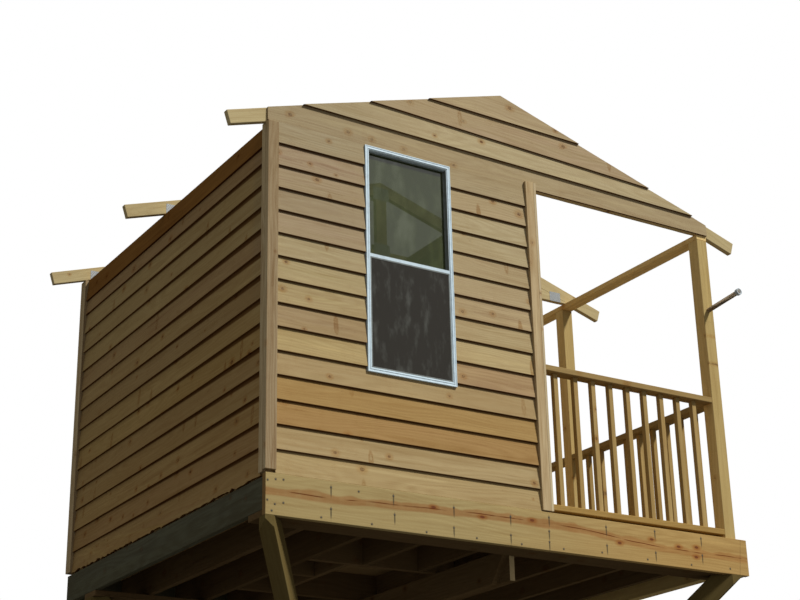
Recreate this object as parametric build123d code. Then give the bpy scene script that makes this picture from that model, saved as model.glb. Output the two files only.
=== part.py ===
from build123d import *
import math
import os

# Tree house: a lap-sided cabin with an open-truss roof and a side porch on a joisted platform.
# Lengths in millimetres, X to the right along the front, Y to the back, Z up.
# The frame starts on the face of the carrier beam that bears on the trunk.

# Stock timber sizes
ply = 38.0
narrow = 89.0
deep = 184.0
fascia_height = 235.0
deck_thickness = 13.0

# Platform
width = 3511.0
depth = 2910.0
rim_inset = 10.0
joist_pitch = 406.4
left_joist_count = 4
wall_joist_inset = 33.0
right_joist_steps = (1166.0, 775.0, 394.0)
back_bearer_inset = 515.0

# Trunk and the framed opening that it stands in under the floor
trunk_from_wall = 495.0
trunk_radius = 290.0
trunk_clearance = 30.0
header_front_gap = 428.0
header_back_gap = 500.0
blocking_gap = 12.0

# Carrier beam
nip_run = 150.0
nip_gap = 4.0
square_ply_setback = 12.0

# Knee braces: head centres on the bearers, foot level below them
brace_drop = 1940.0
brace_left = 25.0
brace_front = 32.0
brace_right_inset = 116.0

# Cabin
cabin_width = 1945.0
wall_top = 2391.0
skin = 28.0
siding_thickness = 20.0
siding_bottom = 230.0
trim_face = 76.0
trim_proud = 6.0
porch_trim_rise = 38.0
stud_pitch = 406.4

# Window
window_left = 662.0
window_right = 1283.0
window_bottom = 924.0
window_top = 2388.0
window_fit = 3.0
frame_face = 33.0
frame_depth = 70.0
frame_proud = 6.0
meeting_rail_z = 1662.0
glass_thickness = 4.0
screen_thickness = 2.0

# Doorway in the porch side of the cabin
door_width = 760.0
door_from_back = 250.0
door_head_drop = 176.0

# Roof trusses
ridge_x = 1720.0
roof_slope = 0.32
tail_run = 1985.0
middle_truss_y = 1527.0
king_width = 89.0
plate_gauge = 1.2
left_heel_plate_inset = 5.0
right_heel_plate_inset = 90.0
heel_plate_length = 100.0
heel_plate_height = 76.0
peak_plate_width = 130.0
peak_plate_height = 100.0

# Porch
post_left = 3361.0
middle_post_y = 1555.0
side_plate_height = 76.0
rail_gap = 27.0
rail_height = 962.0
baluster = 34.0
baluster_pitch = 142.0
wall_baluster_gap = 119.0
second_baluster_gap = 158.0
peg_diameter = 32.0
peg_length = 290.0
peg_height = 1828.0
peg_tilt = 6.0

# Values that follow from the ones above
wall_joist_x = cabin_width - wall_joist_inset
right_joists = [wall_joist_x] + [width - step for step in right_joist_steps]
trunk_x = cabin_width - trunk_from_wall
trunk_y = depth / 2
beam_left = trunk_x + trunk_radius
back_bearer_y = depth - back_bearer_inset
joist_bottom = ply
joist_top = joist_bottom + deep
deck_top = joist_top + deck_thickness
beam_bottom = joist_bottom - deep
origin_x = beam_left
origin_y = trunk_y
origin_z = joist_bottom - deep / 2
post_right = post_left + narrow
wall_inner = skin + narrow
frame_right = cabin_width - skin
back_face = depth - skin
chord_height = narrow * math.hypot(1.0, roof_slope)
peak_z = wall_top + chord_height + roof_slope * (ridge_x - skin)
eave_top = wall_top - roof_slope * skin
rail_bottom_z = deck_top + rail_gap
rail_top_z = deck_top + rail_height
door_back = depth - door_from_back
door_front = door_back - door_width
door_top = wall_top - door_head_drop

os.makedirs("parts", exist_ok=True)
origin = Pos(-origin_x, -origin_y, -origin_z)


def box(x0, x1, y0, y1, z0, z1):
    """A box between two limits on each axis, in house measures."""
    centre = Pos((x0 + x1) / 2, (y0 + y1) / 2, (z0 + z1) / 2)
    return centre * Box(x1 - x0, y1 - y0, z1 - z0)


def across(points, y0, y1):
    """A board cut to an outline in X and Z and spread from y0 to y1."""
    outline = [(x, y0, z) for x, z in points]
    return extrude(make_face(Polyline(*outline, close=True)), y1 - y0, dir=(0, 1, 0))


def along(points, x0, x1):
    """A board cut to an outline in Y and Z and spread from x0 to x1."""
    outline = [(x0, y, z) for y, z in points]
    return extrude(make_face(Polyline(*outline, close=True)), x1 - x0, dir=(1, 0, 0))


def upright(points, z0, z1):
    """A piece cut to a plan outline and raised from z0 to z1."""
    outline = [(x, y, z0) for x, y in points]
    return extrude(make_face(Polyline(*outline, close=True)), z1 - z0, dir=(0, 0, 1))


def save(name, *solids):
    """Writes one node, moved so that the trunk face is the origin."""
    placed = [origin * solid for solid in solids]
    shape = placed[0] if len(placed) == 1 else Compound(children=placed)
    export_step(shape, f"parts/{name}.step")


# Platform frame, its right rim doubled under the posts
save("front_fascia", box(0, width, 0, ply, 0, fascia_height))
rim_face = rim_inset + ply
save("left_rim", box(rim_inset, rim_face, ply, depth, joist_bottom, joist_top))
right_face = width - rim_inset
doubled = right_face - 2 * ply
save("right_rim", box(doubled, right_face, ply, depth, joist_bottom, joist_top))
save("back_rim", box(rim_face, doubled, depth - ply, depth, joist_bottom, joist_top))

# Joists run front to back, and those in the trunk's way stop at two headers
header_front_y = trunk_y - header_front_gap - ply
header_back_y = trunk_y + header_back_gap
left_joists = [joist_pitch * k for k in range(1, left_joist_count + 1)]
opening_left = left_joists[1] + ply / 2
opening_right = wall_joist_x - ply / 2
joists = []
for x in left_joists + right_joists:
    spans = [(ply, depth - ply)]
    if opening_left < x < opening_right:
        spans = [(ply, header_front_y), (header_back_y + ply, depth - ply)]
    for y0, y1 in spans:
        joists.append(box(x - ply / 2, x + ply / 2, y0, y1, joist_bottom, joist_top))
save("floor_joists", *joists)

headers = []
for y in (header_front_y, header_back_y):
    headers.append(box(opening_left, opening_right, y, y + ply, joist_bottom, joist_top))
save("trunk_headers", *headers)
trimmer_right = trunk_x - trunk_radius - trunk_clearance
trimmer_left = trimmer_right - ply
trimmer = (trimmer_left, trimmer_right, header_front_y + ply, header_back_y)
save("trunk_trimmer", box(*trimmer, joist_bottom, joist_top))
blocking_back = trunk_y - blocking_gap
blocking = (opening_left, trimmer_left, blocking_back - ply, blocking_back)
save("trunk_blocking", box(*blocking, joist_bottom, joist_top))

bearers = []
for y in (ply, back_bearer_y):
    bearers.append(box(rim_inset, right_face, y, y + deep, 0, ply))
save("floor_bearers", *bearers)

# Carrier beam: two plies on the trunk's right side, the left one nipped at its front end
beam_front = ply + deep + nip_gap
beam_back = back_bearer_y - nip_gap
beam_middle = beam_left + ply
nipped = [(beam_front, joist_bottom), (beam_back, joist_bottom)]
nipped += [(beam_back, beam_bottom), (beam_front + nip_run, beam_bottom)]
left_ply = along(nipped, beam_left, beam_middle)
square_front = beam_front + square_ply_setback
right_ply = box(beam_middle, beam_middle + ply, square_front, beam_back, beam_bottom, joist_bottom)
save("carrier_beam", left_ply + right_ply)


def knee_brace(head):
    """A square timber from a level cut under the bearer to a plumb cut on the trunk."""
    run = math.hypot(trunk_x - head[0], trunk_y - head[1])
    foot = run - trunk_radius
    rise = brace_drop / foot
    half_level = narrow / 2 * math.hypot(1.0, rise) / rise
    half_plumb = narrow / 2 * math.hypot(1.0, rise)
    side = [(-half_level, 0.0), (half_level, 0.0)]
    side += [(foot, -brace_drop + half_plumb), (foot, -brace_drop - half_plumb)]
    outline = [(x, -narrow / 2, z) for x, z in side]
    timber = extrude(make_face(Polyline(*outline, close=True)), narrow, dir=(0, 1, 0))
    turn = math.degrees(math.atan2(trunk_y - head[1], trunk_x - head[0]))
    return Pos(head[0], head[1], 0) * Rot(0, 0, turn) * timber


brace_right = width - brace_right_inset
back_heads_y = back_bearer_y + deep / 2
brace_heads = [(brace_left, brace_front), (brace_right, brace_front)]
brace_heads += [(brace_left, back_heads_y), (brace_right, back_heads_y)]
save("knee_braces", *[knee_brace(head) for head in brace_heads])

# Floor sheets of the cabin and the porch
save("cabin_floor", box(skin, cabin_width, ply, back_face, joist_top, deck_top))
save("porch_deck", box(cabin_width, right_face, ply, back_face, joist_top, deck_top))

# Wall frames: plates in one node, studs in another
plate_bottom = deck_top + ply
double_plate = wall_top - 2 * ply
stud_half = ply / 2


def stud_row(first, last, gaps):
    """Stud centres from first to last at the stud pitch, left out inside the gaps."""
    places = [first + stud_half]
    while places[-1] + stud_pitch < last - ply:
        places.append(places[-1] + stud_pitch)
    places.append(last - stud_half)
    return [p for p in places if not any(a < p < b for a, b in gaps)]


side_front = wall_inner
side_back = depth - wall_inner
rough_left = window_left - window_fit
rough_right = window_right + window_fit
rough_bottom = window_bottom
window_gap = (rough_left - 3 * ply, rough_right + 3 * ply)

front_plates = [box(skin, frame_right, skin, wall_inner, deck_top, plate_bottom)]
front_plates.append(box(rough_left, rough_right, skin, wall_inner, rough_bottom - ply, rough_bottom))
front_plates.append(box(skin, rough_left - ply, skin, wall_inner, wall_top - ply, wall_top))
front_plates.append(box(rough_right + ply, frame_right, skin, wall_inner, wall_top - ply, wall_top))
save("front_wall_plates", *front_plates)
front_studs = []
for x in stud_row(skin, frame_right, [window_gap]):
    front_studs.append(box(x - stud_half, x + stud_half, skin, wall_inner, plate_bottom, wall_top - ply))
for x in (rough_left - stud_half, rough_right + stud_half):
    front_studs.append(box(x - stud_half, x + stud_half, skin, wall_inner, plate_bottom, wall_top))
middle = (rough_left + rough_right) / 2
front_studs.append(
    box(middle - stud_half, middle + stud_half, skin, wall_inner, plate_bottom, rough_bottom - ply)
)
save("front_wall_studs", *front_studs)

back_plates = [box(skin, frame_right, side_back, back_face, deck_top, plate_bottom)]
back_plates.append(box(skin, frame_right, side_back, back_face, wall_top - ply, wall_top))
save("back_wall_plates", *back_plates)
back_studs = []
for x in stud_row(skin, frame_right, []):
    back_studs.append(
        box(x - stud_half, x + stud_half, side_back, back_face, plate_bottom, wall_top - ply)
    )
save("back_wall_studs", *back_studs)

left_plates = [box(skin, wall_inner, side_front, side_back, deck_top, plate_bottom)]
left_plates.append(box(skin, wall_inner, side_front, side_back, double_plate, wall_top))
save("left_wall_plates", *left_plates)


def side_stud(x0, y):
    """A stud of a side wall from its inner or outer face x0, centred on y."""
    return box(x0, x0 + narrow, y - stud_half, y + stud_half, plate_bottom, double_plate)


left_places = stud_row(side_front, side_back, [])
save("left_wall_studs", *[side_stud(skin, y) for y in left_places])

right_inner = frame_right - narrow
right_plates = [box(right_inner, frame_right, side_front, door_front, deck_top, plate_bottom)]
right_plates.append(box(right_inner, frame_right, door_back, side_back, deck_top, plate_bottom))
right_plates.append(box(right_inner, frame_right, side_front, side_back, double_plate, wall_top))
right_plates.append(box(right_inner, frame_right, door_front, door_back, door_top, door_top + ply))
save("right_wall_plates", *right_plates)
door_gap = (door_front - 2 * ply, door_back + 2 * ply)
right_places = stud_row(side_front, side_back, [door_gap])
right_places += [door_front - stud_half, door_back + stud_half]
save("right_wall_studs", *[side_stud(right_inner, y) for y in right_places])

# Siding sheets between the corner trims
siding_face = skin - siding_thickness
window_hole = box(rough_left, rough_right, -skin, wall_inner, rough_bottom, wall_top + ply)
trim_right = cabin_width - trim_face
front_siding = box(trim_face, trim_right, siding_face, skin, fascia_height, wall_top)
save("front_siding", front_siding - window_hole)
save(
    "back_siding",
    box(trim_face, trim_right, back_face, depth - siding_face, siding_bottom, wall_top),
)
save("left_siding", box(siding_face, skin, trim_face, depth - trim_face, siding_bottom, eave_top))
right_siding = box(
    frame_right, cabin_width - siding_face, trim_face, depth - trim_face, deck_top, wall_top
)
door_hole = box(right_inner, cabin_width + skin, door_front, door_back, 0, door_top)
save("right_siding", right_siding - door_hole)


def roof_line(x):
    """Height of the top edge of the top chords at x."""
    return peak_z - roof_slope * abs(x - ridge_x)


# Gable siding over cabin and porch, cut to the roof line and round the porch trim's top
gable = [(0, wall_top), (post_right, wall_top), (post_right, roof_line(post_right))]
gable += [(ridge_x, peak_z), (0, roof_line(0))]
trim_notch = box(
    trim_right, cabin_width + trim_proud, -ply, depth + ply, deck_top, wall_top + porch_trim_rise
)
save("front_gable_siding", across(gable, siding_face, skin) - trim_notch)
save("back_gable_siding", across(gable, back_face, depth - siding_face) - trim_notch)


def corner_trim(x, y, turn_x, turn_y, z0, z1):
    """An upright L of two boards round a corner at x, y, proud of the siding."""
    out = -trim_proud
    legs = [(out, out), (trim_face, out), (trim_face, skin)]
    legs += [(skin, skin), (skin, trim_face), (out, trim_face)]
    return upright([(x + turn_x * a, y + turn_y * b) for a, b in legs], z0, z1)


left_top = wall_top - roof_slope * (skin + trim_proud)
save("front_left_trim", corner_trim(0, 0, 1, 1, fascia_height, left_top))
save("back_left_trim", corner_trim(0, depth, 1, -1, siding_bottom, left_top))
inner_clear = box(0, width, skin, back_face, wall_top, peak_z)
for name, y, turn in (("front_right_trim", 0, 1), ("back_right_trim", depth, -1)):
    trim = corner_trim(cabin_width, y, -1, turn, fascia_height, wall_top + porch_trim_rise)
    save(name, trim - inner_clear)

# Window: frame with a meeting rail, two panes and an outer screen on the lower one
frame_front = siding_face - frame_proud
frame_back = frame_front + frame_depth
window_frame = box(window_left, window_right, frame_front, frame_back, window_bottom, window_top)
pane_left = window_left + frame_face
pane_right = window_right - frame_face
lower = (window_bottom + frame_face, meeting_rail_z - frame_face / 2)
upper = (meeting_rail_z + frame_face / 2, window_top - frame_face)
for z0, z1 in (lower, upper):
    window_frame -= box(pane_left, pane_right, frame_front - ply, frame_back + ply, z0, z1)
save("window_frame", window_frame)
glass_y = (frame_front + frame_back) / 2
panes = []
for z0, z1 in (lower, upper):
    panes.append(box(pane_left, pane_right, glass_y, glass_y + glass_thickness, z0, z1))
save("window_glass", *panes)
screen_y = frame_front + frame_proud
save("window_screen", box(pane_left, pane_right, screen_y, screen_y + screen_thickness, *lower))

# Roof trusses: one at the front, one in the middle and one at the back
truss_places = (skin, middle_truss_y, back_face - ply)


def chord_outline(side):
    """A top chord on the left (-1) or right (1), plumb at the ridge and square at its tail."""
    tail = ridge_x + side * tail_run
    top = roof_line(tail)
    down = narrow / math.hypot(1.0, roof_slope)
    under = (tail - side * down * roof_slope, top - down)
    return [(ridge_x, peak_z), (tail, top), under, (ridge_x, peak_z - chord_height)]


heel = (peak_z - chord_height - wall_top) / roof_slope
shoulder = (peak_z - chord_height - wall_top - narrow) / roof_slope
tie = [(ridge_x - heel, wall_top), (ridge_x + heel, wall_top)]
tie += [(ridge_x + shoulder, wall_top + narrow), (ridge_x - shoulder, wall_top + narrow)]
king_half = king_width / 2
king_top = peak_z - chord_height
king = [(ridge_x - king_half, wall_top + narrow), (ridge_x + king_half, wall_top + narrow)]
king += [(ridge_x + king_half, king_top - roof_slope * king_half), (ridge_x, king_top)]
king += [(ridge_x - king_half, king_top - roof_slope * king_half)]
save("truss_left_chords", *[across(chord_outline(-1), y, y + ply) for y in truss_places])
seat = box(post_left, post_right, skin, back_face, double_plate, wall_top)
save("truss_right_chords", *[across(chord_outline(1), y, y + ply) - seat for y in truss_places])
save("truss_ties", *[across(tie, y, y + ply) for y in truss_places])
save("truss_king_posts", *[across(king, y, y + ply) for y in truss_places])

# Nail plates on the free faces of the trusses
plates = []
for y, faces in zip(truss_places, ((1,), (0, 1), (0,))):
    for face in faces:
        y0 = y + ply if face else y - plate_gauge
        y1 = y0 + plate_gauge
        plates.append(
            box(
                ridge_x - peak_plate_width / 2,
                ridge_x + peak_plate_width / 2,
                y0,
                y1,
                peak_z - chord_height - peak_plate_height / 2,
                peak_z - chord_height + peak_plate_height / 2,
            )
        )
        plates.append(
            box(
                ridge_x - peak_plate_width / 2,
                ridge_x + peak_plate_width / 2,
                y0,
                y1,
                wall_top + narrow / 2,
                wall_top + narrow / 2 + peak_plate_height,
            )
        )
        for side, inset in ((-1, left_heel_plate_inset), (1, right_heel_plate_inset)):
            outer = ridge_x + side * (heel - inset)
            inner = outer - side * heel_plate_length
            plates.append(
                box(
                    min(inner, outer),
                    max(inner, outer),
                    y0,
                    y1,
                    wall_top + plate_gauge,
                    wall_top + heel_plate_height,
                )
            )
save("truss_nail_plates", *plates)

# Porch posts, the plate on them and the railings between them
post_top = wall_top - side_plate_height
post_places = (skin, middle_post_y, back_face - narrow)
posts = [box(post_left, post_right, y, y + narrow, deck_top, post_top) for y in post_places]
save("porch_posts", *posts)
save("side_plate", box(post_left, post_right, skin, back_face, post_top, wall_top))


def railing(x0, x1, y0, y1, places, lengthways):
    """Two flat rails with square balusters between them."""
    panel = box(x0, x1, y0, y1, rail_bottom_z, rail_bottom_z + ply)
    panel += box(x0, x1, y0, y1, rail_top_z - ply, rail_top_z)
    for place in places:
        bar = (place - baluster / 2, place + baluster / 2)
        if lengthways:
            mid = (x0 + x1) / 2
            limits = (mid - baluster / 2, mid + baluster / 2, *bar)
        else:
            mid = (y0 + y1) / 2
            limits = (*bar, mid - baluster / 2, mid + baluster / 2)
        panel += box(*limits, rail_bottom_z + ply, rail_top_z - ply)
    return panel


def spread(first, last):
    """Centres spread evenly from one place to another at about the baluster pitch."""
    count = round((last - first) / baluster_pitch)
    return [first + (last - first) * k / count for k in range(count + 1)]


rail_left = cabin_width + trim_proud
near_wall = rail_left + wall_baluster_gap
front_places = [near_wall] + spread(near_wall + second_baluster_gap, post_left - baluster_pitch)
front_limits = (rail_left, post_left, skin, skin + narrow)
save("front_railing", railing(*front_limits, front_places, False))


bays = (
    ("side_railing_front", skin + narrow, middle_post_y),
    ("side_railing_rear", middle_post_y + narrow, back_face - narrow),
)
for name, y0, y1 in bays:
    side_places = spread(y0 + baluster_pitch, y1 - baluster_pitch)
    save(name, railing(post_left, post_right, y0, y1, side_places, True))

# Peg on the front post, pointing outwards and a little up
peg_x = (post_left + post_right) / 2
peg = Pos(peg_x, skin, peg_height) * Rot(90 - peg_tilt, 0, 0)
rod = peg * Pos(0, 0, peg_length / 2) * Cylinder(peg_diameter / 2, peg_length + ply)
save("post_peg", rod - box(peg_x - narrow, peg_x + narrow, skin, skin + narrow, 0, wall_top))
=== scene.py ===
import math
import random

import bpy
from mathutils import Matrix, Vector


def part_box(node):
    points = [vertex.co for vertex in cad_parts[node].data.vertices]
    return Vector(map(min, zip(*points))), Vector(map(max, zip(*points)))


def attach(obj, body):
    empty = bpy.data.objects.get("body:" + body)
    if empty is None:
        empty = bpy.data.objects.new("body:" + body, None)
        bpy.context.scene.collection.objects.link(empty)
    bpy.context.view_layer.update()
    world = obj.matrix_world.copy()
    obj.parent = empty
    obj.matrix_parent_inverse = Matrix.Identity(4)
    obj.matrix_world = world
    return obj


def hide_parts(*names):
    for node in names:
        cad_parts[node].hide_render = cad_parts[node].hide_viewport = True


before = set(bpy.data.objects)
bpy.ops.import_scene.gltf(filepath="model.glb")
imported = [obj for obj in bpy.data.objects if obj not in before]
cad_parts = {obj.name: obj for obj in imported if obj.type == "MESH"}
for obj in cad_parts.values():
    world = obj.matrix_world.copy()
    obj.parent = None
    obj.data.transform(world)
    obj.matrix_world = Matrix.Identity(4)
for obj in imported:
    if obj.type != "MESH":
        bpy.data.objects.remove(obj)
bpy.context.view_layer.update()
random.seed(7)

# The bottom left front corner of the front board, from which the house is set out in metres
CORNER = Vector((-1.740, -1.455, 0.054))
STUD_FACE = 0.028
LAP_BOTTOM = 0.230
EXPOSURE = 0.1444
PLATE_LEVEL = 2.391
CABIN_WIDTH = 1.945
WIDTH = 3.511
DEPTH = 2.910
POST_RIGHT = 3.450
RIDGE = 1.720
SLOPE = 0.32
PEAK = 3.0261
WINDOW_LOW = Vector((0.662, 0.002, 0.924))
WINDOW_HIGH = Vector((1.283, 0.072, 2.388))
# How far a cutter reaches past the wall on either side
PAST = 0.1


# Shop tools: selecting, cutting and easing by the usual operators

def only(*pieces):
    """These pieces and no others are selected, the last one active."""
    bpy.ops.object.select_all(action="DESELECT")
    for piece in pieces:
        piece.select_set(True)
    bpy.context.view_layer.objects.active = pieces[-1]


def choose(piece, kind, rule):
    """Opens the piece in edit mode with the corners, edges or faces that the rule takes."""
    only(piece)
    bpy.ops.object.mode_set(mode="EDIT")
    bpy.ops.mesh.select_mode(type=kind)
    bpy.ops.mesh.select_all(action="DESELECT")
    bpy.ops.object.mode_set(mode="OBJECT")
    mesh = piece.data
    parts = {"VERT": mesh.vertices, "EDGE": mesh.edges, "FACE": mesh.polygons}[kind]
    for part in parts:
        part.select = rule(part)
    bpy.ops.object.mode_set(mode="EDIT")


def whole(piece):
    """Opens the piece in edit mode with everything selected."""
    only(piece)
    bpy.ops.object.mode_set(mode="EDIT")
    bpy.ops.mesh.select_mode(type="EDGE")
    bpy.ops.mesh.select_all(action="SELECT")


def close():
    """Leaves edit mode."""
    bpy.ops.object.mode_set(mode="OBJECT")


def block(name, low, high):
    """A sawn block between two corners, with its place in its mesh."""
    low, high = Vector(low), Vector(high)
    bpy.ops.object.select_all(action="DESELECT")
    bpy.ops.mesh.primitive_cube_add(size=1, location=(low + high) / 2, scale=high - low)
    piece = bpy.context.object
    piece.name = piece.data.name = name
    bpy.ops.object.transform_apply(location=True, rotation=True, scale=True)
    return piece


def ease(piece, width, segments=2):
    """Takes the sharpness off every edge."""
    whole(piece)
    bpy.ops.mesh.bevel(offset=width, segments=segments, affect="EDGES")
    close()
    return piece


def nudge(piece, rule, step):
    """Moves the corners that the rule takes."""
    choose(piece, "VERT", rule)
    bpy.ops.transform.translate(value=step)
    close()


def cut_off(piece, point, outward):
    """Saws the piece along a plane and closes the cut."""
    whole(piece)
    bpy.ops.mesh.bisect(plane_co=point, plane_no=outward, use_fill=True, clear_outer=True)
    close()


def cut_out(piece, low, high):
    """Cuts a box-shaped opening or notch out of the piece."""
    cutter = block("cutter", low, high)
    opening = piece.modifiers.new("opening", "BOOLEAN")
    opening.operation, opening.solver, opening.object = "DIFFERENCE", "EXACT", cutter
    only(piece)
    bpy.ops.object.modifier_apply(modifier=opening.name)
    bpy.data.objects.remove(cutter)


def settle(piece, turn, corner):
    """Turns a piece about the upright axis and moves it, then puts its place in its mesh."""
    piece.rotation_euler = (0, 0, turn)
    piece.location = corner
    only(piece)
    bpy.ops.object.transform_apply(location=True, rotation=True, scale=True)


def join(name, pieces):
    """Joins pieces into one."""
    only(*pieces)
    if len(pieces) > 1:
        bpy.ops.object.join()
    piece = bpy.context.object
    piece.name = piece.data.name = name
    return piece


def islands(mesh):
    """Groups of corner numbers that hang together by edges."""
    parent = list(range(len(mesh.vertices)))

    def root(i):
        while parent[i] != i:
            parent[i] = parent[parent[i]]
            i = parent[i]
        return i

    for edge in mesh.edges:
        a, b = root(edge.vertices[0]), root(edge.vertices[1])
        parent[a] = b
    groups = {}
    for i in range(len(parent)):
        groups.setdefault(root(i), []).append(i)
    return list(groups.values())


def mark_grain(piece):
    """Notes on each board its middle, the way its grain runs and its thin way, for the wood finishes."""
    mesh = piece.data
    middle = mesh.attributes.new("middle", "FLOAT_VECTOR", "POINT")
    run = mesh.attributes.new("run", "FLOAT_VECTOR", "POINT")
    flat = mesh.attributes.new("flat", "FLOAT_VECTOR", "POINT")
    board_of = {}
    boards = islands(mesh)
    for number, group in enumerate(boards):
        for i in group:
            board_of[i] = number
    longest = [(0.0, Vector((1, 0, 0)))] * len(boards)
    for edge in mesh.edges:
        a, b = (mesh.vertices[i].co for i in edge.vertices)
        length = (b - a).length
        number = board_of[edge.vertices[0]]
        if length > longest[number][0]:
            longest[number] = (length, (b - a).normalized())
    for number, group in enumerate(boards):
        corners = [mesh.vertices[i].co for i in group]
        low = Vector([min(c[k] for c in corners) for k in range(3)])
        high = Vector([max(c[k] for c in corners) for k in range(3)])
        way = longest[number][1]
        thin = min(range(3), key=lambda k: high[k] - low[k])
        through = Vector([float(k == thin) for k in range(3)])
        if high[thin] - low[thin] > 0.12:
            through = way.cross(Vector((0, 0, 1))).normalized()
        for i in group:
            middle.data[i].vector = (low + high) / 2
            run.data[i].vector = way
            flat.data[i].vector = through
    return piece


def hand_over(piece, finish, slot, *nodes):
    """Gives a finished piece its surface and its body, and hides the nodes it stands for; the slot is not
    used.
    """
    piece.data.materials.clear()
    piece.data.materials.append(finish)
    if nodes:
        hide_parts(*nodes)
    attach(piece, "root")
    return piece


def sawn_copy(name, node, width):
    """The node's own timbers with their edges eased."""
    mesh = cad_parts[node].data.copy()
    piece = bpy.data.objects.new(name, mesh)
    bpy.context.scene.collection.objects.link(piece)
    whole(piece)
    bpy.ops.mesh.remove_doubles(threshold=0.00002)
    bpy.ops.mesh.dissolve_limited(angle_limit=math.radians(1))
    bpy.ops.mesh.select_all(action="SELECT")
    bpy.ops.mesh.normals_make_consistent(inside=False)
    bpy.ops.mesh.bevel(offset=width, segments=2, affect="EDGES")
    close()
    mesh.name = name
    return mark_grain(piece)


# Surface tools: sums on sockets become Math nodes

def paint(red, green, blue):
    """A colour from the 0 to 255 numbers of a paint chart."""
    def straight(c):
        c /= 255
        return c / 12.92 if c <= 0.04045 else ((c + 0.055) / 1.055) ** 2.4
    return (straight(red), straight(green), straight(blue), 1.0)


class Number:
    """A socket's value, on which sums can be written."""

    def __init__(self, finish, socket):
        self.finish, self.socket = finish, socket

    def sum(self, operation, *values):
        return self.finish.node("ShaderNodeMath", {"operation": operation}, dict(enumerate(values)))

    def __add__(self, other):
        return self.sum("ADD", self, other)

    __radd__ = __add__

    def __sub__(self, other):
        return self.sum("SUBTRACT", self, other)

    def __rsub__(self, other):
        return self.sum("SUBTRACT", other, self)

    def __mul__(self, other):
        return self.sum("MULTIPLY", self, other)

    __rmul__ = __mul__

    def __truediv__(self, other):
        return self.sum("DIVIDE", self, other)

    def __abs__(self):
        return self.sum("ABSOLUTE", self)

    def least(self, other):
        return self.sum("MINIMUM", self, other)

    def wave(self):
        return self.sum("SINE", self)

    def within(self, start, end):
        """0 at start rising or falling smoothly to 1 at end."""
        reach = {"From Min": start, "From Max": end}
        values = {"Value": self, **reach}
        settings = {"interpolation_type": "SMOOTHSTEP"}
        return self.finish.node("ShaderNodeMapRange", settings, values)


class Finish:
    """A node surface under construction."""

    def __init__(self, name):
        self.material = bpy.data.materials.new(name)
        self.material.use_nodes = True
        self.tree = self.material.node_tree
        self.shader = self.tree.nodes["Principled BSDF"]

    def node(self, kind, settings=None, values=None, out=0):
        made = self.tree.nodes.new(kind)
        for name, value in (settings or {}).items():
            if name == "stops":
                self.set_stops(made.color_ramp, value)
            else:
                setattr(made, name, value)
        for name, value in (values or {}).items():
            self.feed(made.inputs[name], value)
        return Number(self, made.outputs[out])

    def set_stops(self, ramp, stops):
        while len(ramp.elements) < len(stops):
            ramp.elements.new(0.5)
        for element, (place, colour) in zip(ramp.elements, stops):
            element.position, element.color = place, colour

    def feed(self, socket, value):
        if isinstance(value, Number):
            self.tree.links.new(value.socket, socket)
        else:
            socket.default_value = value

    def place(self):
        return self.node("ShaderNodeTexCoord", out="Object")

    def axes(self, point):
        return [self.node("ShaderNodeSeparateXYZ", values={0: point}, out=k) for k in range(3)]

    def facing(self, axis):
        """How much the surface faces along an axis, from -1 to 1."""
        return self.axes(self.node("ShaderNodeNewGeometry", out=1))[axis]

    def vector(self, operation, *values, out=0):
        return self.node("ShaderNodeVectorMath", {"operation": operation}, dict(enumerate(values)), out)

    def dot(self, first, second):
        return self.vector("DOT_PRODUCT", first, second, out="Value")

    def shade(self, amount, colour, factors):
        """The colour, multiplied by the factors where the amount is 1."""
        return self.blend(amount, colour, self.vector("MULTIPLY", colour, factors))

    def cells(self, point, scale, out):
        """Scattered places on a sheet: how far the nearest one is (0), or its own chance colour (1)."""
        settings = {"feature": "F1", "voronoi_dimensions": "2D"}
        values = {"Vector": point, "Scale": scale, "Randomness": 0.95}
        found = self.node("ShaderNodeTexVoronoi", settings, values, out=out)
        return found if out else found * (1 / scale)

    def scaled(self, point, by):
        return self.node("ShaderNodeVectorMath", {"operation": "SCALE"}, {0: point, "Scale": by})

    def speckle(self, point, scale, detail=2.0, rough=0.5):
        values = {"Vector": point, "Scale": scale, "Detail": detail, "Roughness": rough}
        return self.node("ShaderNodeTexNoise", values=values)

    def blend(self, amount, first, second):
        values = {0: amount, 6: first, 7: second}
        return self.node("ShaderNodeMix", {"data_type": "RGBA"}, values, out=2)

    def attribute(self, name):
        return self.node("ShaderNodeAttribute", {"attribute_name": name}, out="Vector")

    def surface(self, colour, roughness, height=None, depth=0.001, strength=0.5, **others):
        self.feed(self.shader.inputs["Base Color"], colour)
        self.feed(self.shader.inputs["Roughness"], roughness)
        if height is not None:
            values = {"Height": height, "Distance": depth, "Strength": strength}
            self.feed(self.shader.inputs["Normal"], self.node("ShaderNodeBump", values=values))
        for name, value in others.items():
            self.feed(self.shader.inputs[name.replace("_", " ")], value)
        return self.material

    def dry_wood(self, colour, height, fine, rough=0.76, depth=0.0016, strength=0.55):
        """The dull surface of dry wood, a little rougher where the fine grain is high."""
        return self.surface(colour, fine * 0.15 + rough, height, depth, strength, Specular_IOR_Level=0.0)


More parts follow.
